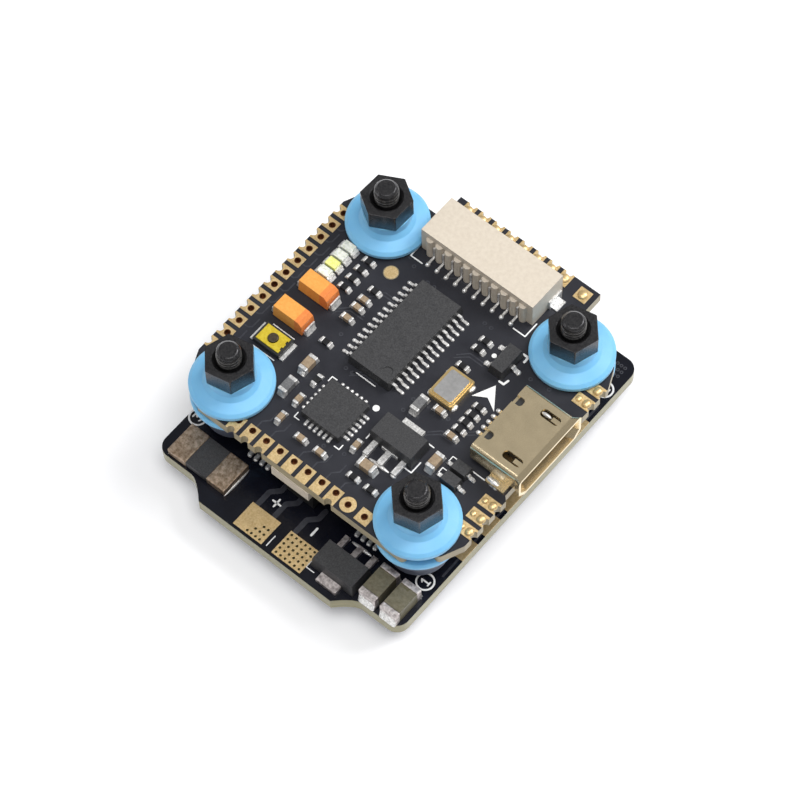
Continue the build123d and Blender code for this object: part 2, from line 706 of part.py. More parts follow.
def make_micro_socket():
    wide = USB_WIDTH - 2 * USB_SHEET
    tall = USB_HEIGHT - 2 * USB_SHEET
    front = USB_FRONT_X
    lip_x = front + USB_LIP
    flare_x = front - 0.3
    shell = shell_stretch(USB_REAR_X, flare_x, 0, 0) + shell_stretch(flare_x, lip_x, 0, USB_FLARE)
    shell -= shell_stretch(USB_REAR_X + USB_SHEET, flare_x, USB_SHEET, 0)
    shell -= shell_stretch(flare_x, lip_x, USB_SHEET, USB_FLARE)
    roof = Z_TOP + USB_HEIGHT - USB_SHEET
    spring = USB_SHEET * 0.6
    for side in (-1, 1):
        slot_y = USB_Y + side * (USB_WIDTH / 2 - 1.3)
        slot = block(front - 1.6, slot_y, roof, 1.9, 0.8, USB_SHEET)
        shell -= fillet(slot.edges().filter_by(Axis.Z), 0.35)
        shell += block(front - 0.9, slot_y, roof, 1.1, 0.42, spring)
        notch = block(USB_REAR_X + 0.35, USB_Y + side * (USB_WIDTH / 2 - 1.75), roof, 1.1, 0.8, USB_SHEET)
        shell -= fillet(notch.edges().filter_by(Axis.Z).group_by(Axis.X)[-1], 0.3)
        shell += block(front - 1.9, USB_Y + side * (USB_WIDTH / 2 + 0.3), Z_TOP, 1.9, 0.84, 0.3)
        shell += block(front - 1.9, USB_Y + side * (USB_WIDTH / 2 - 0.12), Z_TOP, 1.9, 0.24, USB_CORNER + 0.1)
    rear = block(USB_REAR_X + USB_SHEET + 0.5, USB_Y, Z_TOP + USB_SHEET, 1.0, wide - 2 * USB_CORNER, tall)
    tongue_z = Z_TOP + USB_SHEET + 0.95
    tongue = block(USB_REAR_X + USB_SHEET + 2.4, USB_Y, tongue_z, 2.9, 3.6, 0.55)
    insulator = rear + tongue
    tongue_z -= CONTACT_PROUD
    contacts = []
    for y in row(USB_Y - 2 * USB_PITCH, 5, USB_PITCH):
        blade = block(USB_REAR_X + USB_SHEET + 1.9, y, tongue_z, 3.3, 0.3, CONTACT_PROUD)
        riser = block(USB_REAR_X + USB_SHEET + 0.3, y, Z_TOP, 0.1, 0.3, tongue_z - Z_TOP)
        tail = block(USB_REAR_X - 0.4, y, Z_TOP, 1.6, 0.3, 0.12)
        contacts.append(blade + riser + tail)
    keep("micro_socket_insulator", insulator - contacts)
    keep("micro_socket_contacts", *contacts)
    rear_window = block(USB_REAR_X, USB_Y, Z_TOP, 2 * USB_SHEET + 1.5, 5 * USB_PITCH, USB_SHEET)
    keep("micro_socket_shell", shell - rear_window)


# ---- cable socket


def make_cable_socket():
    width = CABLE_WIDTH
    middle_y = CABLE_REAR_Y + CABLE_DEPTH / 2
    housing = block(CABLE_X, middle_y, Z_TOP, width, CABLE_DEPTH, CABLE_HEIGHT)
    cavity_depth = CABLE_DEPTH - 0.9
    cavity = block(
        CABLE_X,
        CABLE_REAR_Y + CABLE_DEPTH - cavity_depth / 2,
        Z_TOP + CABLE_WALL,
        width - 2 * CABLE_WALL,
        cavity_depth,
        CABLE_HEIGHT - 2 * CABLE_WALL,
    )
    housing -= cavity
    first = CABLE_X - (CABLE_WAYS - 1) * CABLE_PITCH / 2
    for x in row(first - CABLE_PITCH / 2, CABLE_WAYS + 1, CABLE_PITCH):
        housing += post(x, CABLE_REAR_Y, Z_TOP, RIB_WIDTH / 2, RIB_HEIGHT)
    leads = []
    for x in row(first, CABLE_WAYS, CABLE_PITCH):
        foot = block(x, CABLE_REAR_Y - 0.55, Z_TOP, 0.2, 1.1, 0.15)
        riser = block(x, CABLE_REAR_Y - 0.1, Z_TOP, 0.2, 0.2, 1.55)
        blade = block(x, CABLE_REAR_Y + 1.4, Z_TOP + 1.35, 0.2, 3.0, 0.2)
        lead = foot + riser + blade
        leads.append(lead)
    housing = housing - leads
    keep("cable_socket_housing", housing)
    keep("cable_socket_contacts", *leads)
    anchors = []
    for side in (-1, 1):
        x = CABLE_X + side * (width / 2 + 0.1)
        anchor = block(x, middle_y + 0.9, Z_TOP, 0.2, 1.6, 1.1)
        anchor += block(x + side * 0.3, middle_y + 0.9, Z_TOP, 0.8, 1.2, 0.15)
        anchors.append(anchor - block(CABLE_X, middle_y, Z_TOP, width, CABLE_DEPTH, CABLE_HEIGHT))
    keep("cable_socket_anchors", *anchors)


# ---- link between the boards

LINK_X, LINK_Y = -0.85, -9.45
LINK_LENGTH, LINK_WIDTH = 8.0, 4.0
LINK_SOCKET_HEIGHT = 1.2
LINK_PITCH = 1.5
LINK_INSET = 0.5  # the header is this much narrower on each side


def make_link():
    top = Z_UPPER - LINK_SOCKET_HEIGHT
    socket = block(LINK_X, LINK_Y, top, LINK_WIDTH, LINK_LENGTH, LINK_SOCKET_HEIGHT)
    header_height = BOARD_SPACE - LINK_SOCKET_HEIGHT
    header = block(
        LINK_X, LINK_Y, Z_LOWER_TOP, LINK_WIDTH - 2 * LINK_INSET, LINK_LENGTH - 4 * LINK_INSET, header_height
    )
    pins = []
    for x in (LINK_X - LINK_PITCH / 2, LINK_X + LINK_PITCH / 2):
        for y in row(LINK_Y - 1.5 * LINK_PITCH, 4, LINK_PITCH):
            pins.append(block(x, y, Z_LOWER_TOP, 0.4, 0.4, BOARD_SPACE - 0.4))
            socket -= block(x, y, top, 0.44, 0.44, LINK_SOCKET_HEIGHT - 0.4)
    keep("link_socket", socket)
    keep("link_header", header - pins)
    keep("link_pins", *pins)


# ---- lower board

BATTERY_PAD_X = 2.1
BATTERY_PAD_Y = TAB_REAR_Y + 1.55
BATTERY_PAD_WIDTH = 3.1
BATTERY_PAD_LENGTH = 2.55
BATTERY_HOLE_R = 0.12
MOTOR_PADS_Y = [-7.35, -4.4, -1.45, 1.5, 4.45, 7.4]


def lower_outline():
    """The outline's sketch: a plate with rounded corners and a battery tab with curved shoulders."""
    plate = Pos(0, (LOWER_FRONT_Y + LOWER_REAR_Y) / 2) * RectangleRounded(
        2 * LOWER_HALF_X, LOWER_FRONT_Y - LOWER_REAR_Y, LOWER_CORNER_R
    )
    shoulder = SHOULDER_X - TAB_HALF_X
    left = Spline(
        (-SHOULDER_X, LOWER_REAR_Y),
        (-TAB_HALF_X, TAB_REAR_Y),
        tangents=((1, 0), (1, -1)),
        tangent_scalars=(0.8, 0.8),
    )
    right = Spline(
        (TAB_HALF_X, TAB_REAR_Y),
        (SHOULDER_X, LOWER_REAR_Y),
        tangents=((1, 1), (1, 0)),
        tangent_scalars=(0.8, 0.8),
    )
    base = Line((-TAB_HALF_X, TAB_REAR_Y), (TAB_HALF_X, TAB_REAR_Y))
    inside = LOWER_REAR_Y + shoulder
    ends = [(SHOULDER_X, LOWER_REAR_Y), (SHOULDER_X, inside), (-SHOULDER_X, inside), (-SHOULDER_X, LOWER_REAR_Y)]
    back = Polyline(ends)
    tab = make_face([left, base, right, back])
    return plate + tab


def battery_holes():
    places = []
    for i in range(6):
        for j in range(5):
            places.append((BATTERY_PAD_X - 1.25 + 0.5 * i, BATTERY_PAD_Y - 1.0 + 0.5 * j))
    for j in range(3):
        for i in range(4 - j if j else 4):
            places.append((-BATTERY_PAD_X + 1.15 - 0.45 * i, BATTERY_PAD_Y - 1.0 + 0.55 * j))
    return places


def make_lower_board():
    board = Pos(0, 0, Z_LOWER) * extrude(lower_outline(), LOWER_THICKNESS)
    board = drill(board, CORNERS, LOWER_HOLE_R, Z_LOWER, LOWER_THICKNESS)
    board = drill(board, battery_holes(), BATTERY_HOLE_R, Z_LOWER, LOWER_THICKNESS)
    keep("lower_board", board)


def make_lower_pads():
    pads = []
    for side in (-1, 1):
        x = side * BATTERY_PAD_X
        pad = block(x, BATTERY_PAD_Y, Z_LOWER_TOP, BATTERY_PAD_WIDTH, BATTERY_PAD_LENGTH, PAD_THICKNESS)
        near = [(x, y) for x, y in battery_holes() if x * side > 0]
        pads.append(drill(pad, near, BATTERY_HOLE_R, Z_LOWER_TOP, PAD_THICKNESS))
        for y in MOTOR_PADS_Y:
            pads.append(block(side * (LOWER_HALF_X - 0.75), y, Z_LOWER_TOP, 1.5, 2.0, PAD_THICKNESS))
    keep("lower_board_pads", *pads)


def make_shunt():
    x, y = -LOWER_HALF_X + 4.3, LOWER_REAR_Y + 1.8
    length, width, height, end = 6.3, 3.2, 0.85, 2.0
    strip = block(x, y, Z_LOWER_TOP + 0.08, length - 2 * end, width - 0.1, height - 0.13)
    ends = []
    for side in (-1, 1):
        piece = block(x + side * (length - end) / 2, y, Z_LOWER_TOP, end, width, height)
        ends.append(fillet(piece.edges(), 0.1))
    keep("shunt_strip", strip)
    keep("shunt_ends", *ends)


TRANSISTOR_SIDE = 3.1
TRANSISTOR_HEIGHT = 0.8
LEAD_OUT = 0.5
TRANSISTOR_ROWS_Y = (-4.3, 0, 4.3)
TOP_TRANSISTORS = [(-5.75, -10.05), (6.0, -10.05)] + [(x, y) for x in (-9.6, 9.6) for y in TRANSISTOR_ROWS_Y]
UNDER_TRANSISTORS = [(x, y) for x in (-9.6, -4.6, 4.6, 9.6) for y in TRANSISTOR_ROWS_Y]


def make_transistors():
    """Power transistors on both faces of the lower board, with a row of four leads on one side."""
    bodies, leads = [], []
    under_z = Z_LOWER - TRANSISTOR_HEIGHT
    faces = ((TOP_TRANSISTORS, Z_LOWER_TOP, Z_LOWER_TOP), (UNDER_TRANSISTORS, under_z, Z_LOWER - 0.25))
    for places, z, lead_z in faces:
        for x, y in places:
            bodies.append(block(x, y, z, TRANSISTOR_SIDE, TRANSISTOR_SIDE, TRANSISTOR_HEIGHT))
            lead_y = y - (TRANSISTOR_SIDE + LEAD_OUT) / 2
            for dx in row(-0.975, 4, 0.65):
                leads.append(block(x + dx, lead_y, lead_z, 0.35, LEAD_OUT, 0.25))
    keep("power_transistors", *bodies)
    keep("power_transistor_leads", *leads)


def make_drivers():
    """Four small controller chips, one for each motor, on the lower board's top."""
    places = [(-4.6, 3.0), (4.6, 3.0), (-4.6, 9.5), (4.6, 9.5)]
    keep("motor_driver_chips", *[block(x, y, Z_LOWER_TOP, 3.0, 3.0, 0.8) for x, y in places])


def build():
    make_screws()
    make_nuts()
    make_upper_grommets()
    make_lower_grommets()
    make_upper_board()
    make_upper_pads()
    make_overlay_chip()
    make_motion_sensor()
    make_regulators()
    make_small_regulator()
    make_crystal()
    make_processor()
    make_chips()
    make_tantalums()
    make_diodes()
    make_lamps()
    make_button()
    make_micro_socket()
    make_cable_socket()
    make_link()
    make_lower_board()
    make_lower_pads()
    make_shunt()
    make_transistors()
    make_drivers()


build()
os.makedirs("parts", exist_ok=True)
for name, shape in PARTS.items():
    export_step(shape, f"parts/{name}.step")
print(len(PARTS), "nodes")
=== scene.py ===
from math import cos, hypot, pi, radians, sin

import bmesh
import bpy
from mathutils import Matrix, Vector


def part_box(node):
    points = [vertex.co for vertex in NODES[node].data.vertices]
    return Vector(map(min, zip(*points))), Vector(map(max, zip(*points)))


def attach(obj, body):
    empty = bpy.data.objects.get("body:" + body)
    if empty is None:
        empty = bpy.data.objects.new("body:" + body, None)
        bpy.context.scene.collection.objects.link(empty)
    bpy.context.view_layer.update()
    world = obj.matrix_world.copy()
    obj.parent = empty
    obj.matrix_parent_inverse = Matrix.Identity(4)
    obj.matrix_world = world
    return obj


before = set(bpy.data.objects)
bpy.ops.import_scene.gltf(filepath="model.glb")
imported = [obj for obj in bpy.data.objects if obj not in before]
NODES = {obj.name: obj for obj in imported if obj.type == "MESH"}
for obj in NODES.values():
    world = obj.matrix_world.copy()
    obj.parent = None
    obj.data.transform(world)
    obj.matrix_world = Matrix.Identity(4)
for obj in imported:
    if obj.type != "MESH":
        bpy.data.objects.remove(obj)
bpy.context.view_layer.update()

# Everything is in metres, in the CAD frame: +Z up, +Y the flight direction, origin at the centre of the bolt
# pattern.
MM = 0.001
STACK = "stack"


# ---------------------------------------------------------------- reading the frame


def solids(node):
    """(lowest, highest) corners, in mm, of every separate solid of a CAD node."""
    mesh = NODES[node].data
    merged, index = {}, []
    for vertex in mesh.vertices:
        key = tuple(round(c * 1e7) for c in vertex.co)
        index.append(merged.setdefault(key, len(merged)))
    parent = list(range(len(merged)))

    def root(i):
        while parent[i] != i:
            parent[i] = parent[parent[i]]
            i = parent[i]
        return i

    for polygon in mesh.polygons:
        corners = [root(index[v]) for v in polygon.vertices]
        for c in corners[1:]:
            parent[root(c)] = root(corners[0])
    boxes = {}
    for vertex, i in zip(mesh.vertices, index):
        low, high = boxes.setdefault(root(i), (vertex.co / MM, vertex.co / MM))
        for axis in range(3):
            low[axis] = min(low[axis], vertex.co[axis] / MM)
            high[axis] = max(high[axis], vertex.co[axis] / MM)
    return sorted(boxes.values(), key=lambda b: (round(b[0].x, 3), round(b[0].y, 3), round(b[0].z, 3)))


def box_mm(node):
    low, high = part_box(node)
    return low / MM, high / MM


TOP = box_mm("upper_board")[1].z  # the upper board's top face
UPPER_UNDER = box_mm("upper_board")[0].z
LOWER_TOP = box_mm("lower_board")[1].z
PAD_TOP = box_mm("upper_board_pads")[1].z
CORNERS = [((low + high) / 2).to_2d() for low, high in solids("nuts")]


# ---------------------------------------------------------------- materials


class Shader:
    """A principled material whose colour, roughness and bump come from procedural noise."""

    def __init__(self, name):
        self.material = bpy.data.materials.new(name)
        self.material.use_nodes = True
        self.tree = self.material.node_tree
        self.bsdf = self.tree.nodes["Principled BSDF"]
        self.coords = self.node("ShaderNodeTexCoord").outputs["Object"]

    def node(self, kind, **settings):
        made = self.tree.nodes.new(kind)
        for key, value in settings.items():
            setattr(made, key, value)
        return made

    def link(self, source, target):
        self.tree.links.new(source, target)

    def noise(self, size_mm, detail=4.0, rough=0.6, stretch=(1, 1, 1)):
        """Noise between about 0 and 1 whose features are size_mm across."""
        mapping = self.node("ShaderNodeMapping")
        mapping.inputs["Scale"].default_value = stretch
        self.link(self.coords, mapping.inputs["Vector"])
        noise = self.node("ShaderNodeTexNoise")
        noise.inputs["Scale"].default_value = 1 / (size_mm * MM)
        noise.inputs["Detail"].default_value = detail
        noise.inputs["Roughness"].default_value = rough
        self.link(mapping.outputs["Vector"], noise.inputs["Vector"])
        return noise.outputs["Fac"]

    def ramp(self, factor, stops):
        """A colour that runs through stops, each a place and a colour; there are always two."""
        node = self.node("ShaderNodeValToRGB")
        for element, (place, colour) in zip(node.color_ramp.elements, stops):
            element.position = place
            element.color = (*colour, 1)
        self.link(factor, node.inputs["Fac"])
        return node.outputs["Color"]

    def remap(self, factor, low, high):
        """Spreads the middle of a noise's range over low to high."""
        node = self.node("ShaderNodeMapRange")
        node.inputs["From Min"].default_value = 0.3
        node.inputs["From Max"].default_value = 0.7
        node.inputs["To Min"].default_value = low
        node.inputs["To Max"].default_value = high
        self.link(factor, node.inputs["Value"])
        return node.outputs["Result"]

    def mix(self, factor, a, b):
        """Colour a where factor is 0, b where it is 1."""
        node = self.node("ShaderNodeMix", data_type="RGBA")
        self.link(factor, node.inputs["Factor"])
        self.link(a, node.inputs[6])  # the colour sockets share their names with the other kinds'
        self.link(b, node.inputs[7])
        return node.outputs[2]

    def along(self, axis):
        """The coordinate along X or Y, in metres."""
        split = self.node("ShaderNodeSeparateXYZ")
        self.link(self.coords, split.inputs[0])
        return split.outputs[axis]

    def upright(self):
        """1 on the faces that stand upright, 0 on those that lie flat."""
        split = self.node("ShaderNodeSeparateXYZ")
        self.link(self.node("ShaderNodeNewGeometry").outputs["Normal"], split.inputs[0])
        size = self.node("ShaderNodeMath", operation="ABSOLUTE")
        self.link(split.outputs["Z"], size.inputs[0])
        flat = self.node("ShaderNodeMath", operation="LESS_THAN")
        flat.inputs[1].default_value = 0.5
        self.link(size.outputs[0], flat.inputs[0])
        return flat.outputs[0]

    def relief(self, factor, depth_mm, strength, edge_mm):
        """Bump from factor, over edges rounded by edge_mm."""
        bump = self.node("ShaderNodeBump")
        bump.inputs["Strength"].default_value = strength
        bump.inputs["Distance"].default_value = depth_mm * MM
        self.link(factor, bump.inputs["Height"])
        if edge_mm:
            bevel = self.node("ShaderNodeBevel", samples=4)
            bevel.inputs["Radius"].default_value = edge_mm * MM
            self.link(bevel.outputs[0], bump.inputs["Normal"])
        self.link(bump.outputs[0], self.bsdf.inputs["Normal"])

    def set(self, **values):
        """Sets constant values on the shader's own sockets."""
        for name, value in values.items():
            self.bsdf.inputs[name.replace("_", " ")].default_value = value


def speckled(name, dark, light, rough, metal=0.0, grain=0.4, depth=0.01, edge=0.03):
    """A material that varies between two colours, with a fine relief and uneven gloss.

    grain is the speckles' size, depth the relief's and edge the radius of the rounded edges, all in mm.
    """
    s = Shader(name)
    fine = s.noise(grain, 5.0)
    broad = s.noise(grain * 6, 3.0)
    s.link(s.ramp(fine, [(0.35, dark), (0.65, light)]), s.bsdf.inputs["Base Color"])
    s.link(s.remap(broad, rough * 0.85, min(1.0, rough * 1.2)), s.bsdf.inputs["Roughness"])
    s.relief(fine, depth, 0.6, edge)
    s.set(Metallic=metal)
    return s


def board(name, mask, mask_light, edge_dark, edge_light, rough):
    """Solder mask on the flat faces and bare laminate on the edges."""
    s = Shader(name)
    fine = s.noise(0.25, 6.0)
    broad = s.noise(3.0, 3.0)
    face = s.ramp(broad, [(0.3, mask), (0.7, mask_light)])
    layers = s.noise(0.5, 4.0, stretch=(0.15, 0.15, 3.0))
    side = s.ramp(layers, [(0.35, edge_dark), (0.65, edge_light)])
    s.link(s.mix(s.upright(), face, side), s.bsdf.inputs["Base Color"])
    s.link(s.remap(broad, rough * 0.9, rough * 1.15), s.bsdf.inputs["Roughness"])
    s.relief(fine, 0.006, 0.5, 0.04)
    s.set(Specular_IOR_Level=0.38)
    return s


def brushed(name, dark, light, rough, stretch, grain):
    """Plated sheet metal with fine brushing along one way."""
    s = Shader(name)
    lines = s.noise(grain, 6.0, 0.7, stretch)
    broad = s.noise(1.2, 4.0)
    s.link(s.ramp(lines, [(0.3, dark), (0.7, light)]), s.bsdf.inputs["Base Color"])
    s.link(s.remap(broad, rough * 0.92, rough * 1.1), s.bsdf.inputs["Roughness"])
    s.relief(lines, 0.002, 0.5, 0)
    s.set(Metallic=0.9)
    return s


TANTALUM_BAND = 0.85  # length of the band that marks one end, mm


def tantalum():
    """Orange moulding with a redder band at the +X end of each part."""
    s = Shader("tantalum_orange")
    fine = s.noise(0.2, 5.0)
    face = s.ramp(fine, [(0.3, (0.74, 0.30, 0.055)), (0.7, (0.83, 0.385, 0.085))])
    band = s.ramp(fine, [(0.3, (0.72, 0.20, 0.045)), (0.7, (0.80, 0.26, 0.06))])
    starts = [high.x - TANTALUM_BAND for low, high in solids("tantalum_bodies")]
    past = s.node("ShaderNodeMath", operation="GREATER_THAN")
    past.inputs[1].default_value = sum(starts) / len(starts) * MM
    s.link(s.along("X"), past.inputs[0])
    s.link(s.mix(past.outputs[0], face, band), s.bsdf.inputs["Base Color"])
    s.relief(fine, 0.008, 0.5, 0.06)
    s.set(Roughness=0.42)
    return s


def silicone(name, base, light):
    """Soft, slightly translucent rubber."""
    s = Shader(name)
    broad = s.noise(2.5, 2.0)
    fine = s.noise(0.3, 4.0)
    s.link(s.ramp(broad, [(0.3, base), (0.7, light)]), s.bsdf.inputs["Base Color"])
    s.link(s.remap(fine, 0.45, 0.55), s.bsdf.inputs["Roughness"])
    s.relief(fine, 0.004, 0.3, 0.12)
    s.set(Subsurface_Weight=0.25, Subsurface_Radius=(0.0006, 0.0009, 0.0012), Subsurface_Scale=0.6)
    s.set(Sheen_Weight=0.15, Sheen_Roughness=0.5)
    return s


YELLOW_LAMP = 1  # counted from the -Y end of the row


def lamp_resin():
    """Clear resin over pale chips, with one yellow lamp."""
    s = Shader("lamp_resin")
    fine = s.noise(0.25, 4.0)
    clear = s.ramp(fine, [(0.35, (0.62, 0.66, 0.56)), (0.65, (0.92, 0.93, 0.88))])
    yellow = s.ramp(fine, [(0.35, (0.75, 0.78, 0.20)), (0.65, (0.90, 0.90, 0.38))])
    low, high = solids("lamp_lenses")[YELLOW_LAMP]
    inside = s.node("ShaderNodeMath", operation="COMPARE")
    inside.inputs[1].default_value = (low.y + high.y) / 2 * MM
    inside.inputs[2].default_value = (high.y - low.y) / 2 * MM
    s.link(s.along("Y"), inside.inputs[0])
    s.link(s.mix(inside.outputs[0], clear, yellow), s.bsdf.inputs["Base Color"])
    s.relief(fine, 0.01, 0.4, 0.05)
    s.set(Roughness=0.22, Subsurface_Weight=0.3, Subsurface_Radius=(0.0003, 0.0003, 0.0002))
    return s


# look: material name, dark and light colours, roughness, metal, then grain, depth and edge in mm.
FINISHES = {
    "gold": ("gold_plate", (0.62, 0.44, 0.20), (0.78, 0.59, 0.32), 0.4, 0.7, 0.15, 0.01, 0.04),
    "tin": ("tinned_metal", (0.52, 0.51, 0.50), (0.97, 0.96, 0.94), 0.3, 0.55, 0.22, 0.04, 0.06),
    "black_steel": ("black_oxide", (0.03, 0.03, 0.034), (0.11, 0.108, 0.11), 0.2, 0.8, 0.12, 0.015, 0.1),
    "epoxy": ("chip_epoxy", (0.018, 0.018, 0.020), (0.045, 0.045, 0.047), 0.5, 0.0, 0.12, 0.012, 0.04),
    "resistor": ("resistor_glaze", (0.008, 0.008, 0.009), (0.02, 0.02, 0.022), 0.3, 0.0, 0.3, 0.005, 0.04),
    "brown": ("brown_ceramic", (0.25, 0.18, 0.115), (0.37, 0.28, 0.185), 0.35, 0.0, 0.2, 0.01, 0.05),
    "olive": ("olive_ceramic", (0.11, 0.10, 0.06), (0.17, 0.15, 0.10), 0.3, 0.0, 0.3, 0.008, 0.06),
    "bead": ("grey_ceramic", (0.10, 0.10, 0.105), (0.18, 0.18, 0.18), 0.45, 0.0, 0.2, 0.01, 0.05),
    "silver_end": ("silver_end", (0.30, 0.26, 0.25), (0.80, 0.74, 0.72), 0.35, 0.75, 0.35, 0.04, 0.08),
    "shunt": ("shunt_tin", (0.24, 0.16, 0.10), (0.60, 0.46, 0.34), 0.34, 0.8, 0.3, 0.03, 0.08),
    "insulator": ("black_nylon", (0.01, 0.01, 0.01), (0.02, 0.02, 0.02), 0.5, 0.0, 0.3),
    "cream": ("cream_nylon", (0.57, 0.50, 0.41), (0.63, 0.56, 0.465), 0.5, 0.0, 0.35, 0.006, 0.05),
    "cover": ("yellow_cover", (0.58, 0.42, 0.02), (0.74, 0.58, 0.05), 0.35, 0.3, 0.3, 0.006, 0.04),
    "plunger": ("dark_plunger", (0.03, 0.022, 0.012), (0.07, 0.05, 0.025), 0.35, 0.0, 0.3, 0.005, 0.03),
    "crystal_can": ("crystal_gold", (0.74, 0.54, 0.24), (0.80, 0.60, 0.29), 0.26, 0.8, 0.6, 0.001, 0),
    "lamp_base": ("lamp_base", (0.36, 0.44, 0.36), (0.62, 0.68, 0.60), 0.4, 0.0, 0.3, 0.01, 0.03),
    "legend": ("white_legend", (0.78, 0.78, 0.77), (0.90, 0.90, 0.89), 0.6, 0.0, 0.15, 0.004, 0),
    "grey": ("crystal_lid_grey", (0.55, 0.55, 0.54), (0.66, 0.65, 0.65), 0.3, 0.85, 0.4, 0.004, 0.03),
    # barrel: dark copper-brown, partly the plating's own tone and partly painted shade inside the holes
    "barrel": ("plated_barrel_painted_shade", (0.06, 0.018, 0.008), (0.26, 0.11, 0.045), 0.35, 0.7, 0.2, 0.01, 0),
    "thread": ("thread_oxide", (0.05, 0.05, 0.052), (0.15, 0.145, 0.14), 0.2, 0.8, 0.15, 0.01, 0),
    "track": ("mask_over_track", (0.022, 0.023, 0.031), (0.036, 0.038, 0.048), 0.4, 0.0, 0.4, 0.004, 0),
    "laminate": ("bare_laminate", (0.20, 0.17, 0.10), (0.32, 0.27, 0.17), 0.6, 0.0, 0.15, 0.004, 0),
}


def make_materials():
    """Every look of the object, by the name that pieces and nodes call it."""
    upper_mask = (0.012, 0.0125, 0.018), (0.017, 0.018, 0.025)
    lower_mask = (0.0035, 0.004, 0.008), (0.006, 0.007, 0.013)
    return {
        "upper_board": board("upper_mask", *upper_mask, (0.30, 0.25, 0.16), (0.38, 0.33, 0.22), 0.42),
        "lower_board": board("lower_mask", *lower_mask, (0.24, 0.22, 0.11), (0.31, 0.28, 0.15), 0.22),
        "blue": silicone("blue_silicone", (0.16, 0.46, 0.74), (0.20, 0.51, 0.78)),
        "navy": silicone("dark_silicone", (0.045, 0.055, 0.095), (0.06, 0.075, 0.12)),
        "tantalum": tantalum(),
        "gilt": brushed("gilt_shell", (0.66, 0.53, 0.32), (0.92, 0.78, 0.53), 0.24, (1, 6, 1), 0.12),
        "lamp": lamp_resin(),
        **{look: speckled(*values) for look, values in FINISHES.items()},
    }


LOOK = make_materials()
NODE_LOOKS = {
    "upper_board": ["upper_board"],
    "lower_board": ["lower_board"],
    "gold": ["upper_board_pads", "lower_board_pads", "micro_socket_contacts"],
    "black_steel": ["nuts", "screws"],
    "blue": ["upper_grommets"],
    "navy": ["lower_grommets"],
    "epoxy": [
        "overlay_chip", "motion_sensor", "processor", "upper_regulator", "lower_regulator", "small_regulator",
        "diode_bodies", "power_transistors", "motor_driver_chips", "shunt_strip",
    ],
    "resistor": ["resistors"],
    "brown": ["small_capacitors", "large_capacitors"],
    "olive": ["power_capacitors"],
    "bead": ["beads"],
    "silver_end": ["power_capacitor_ends", "lower_regulator_leads"],
    "shunt": ["shunt_ends"],
    "tantalum": ["tantalum_bodies"],
    "gilt": ["micro_socket_shell"],
    "insulator": ["micro_socket_insulator", "link_header", "button_base"],
    "cream": ["cable_socket_housing", "link_socket"],
    "cover": ["button_cover"],
    "plunger": ["button_plunger"],
    "crystal_can": ["crystal_base", "crystal_lid"],
    "lamp_base": ["lamp_bases"],
    "lamp": ["lamp_lenses"],
}


def dress_nodes():
    """Gives every CAD node its procedural material; what no group names is tinned metal."""
    of_node = {node: look for look, nodes in NODE_LOOKS.items() for node in nodes}
    for name, node in NODES.items():
        material = LOOK[of_node.get(name, "tin")].material
        if not node.material_slots:
            node.data.materials.append(material)
        for slot in node.material_slots:
            slot.material = material


# ---------------------------------------------------------------- mesh pieces


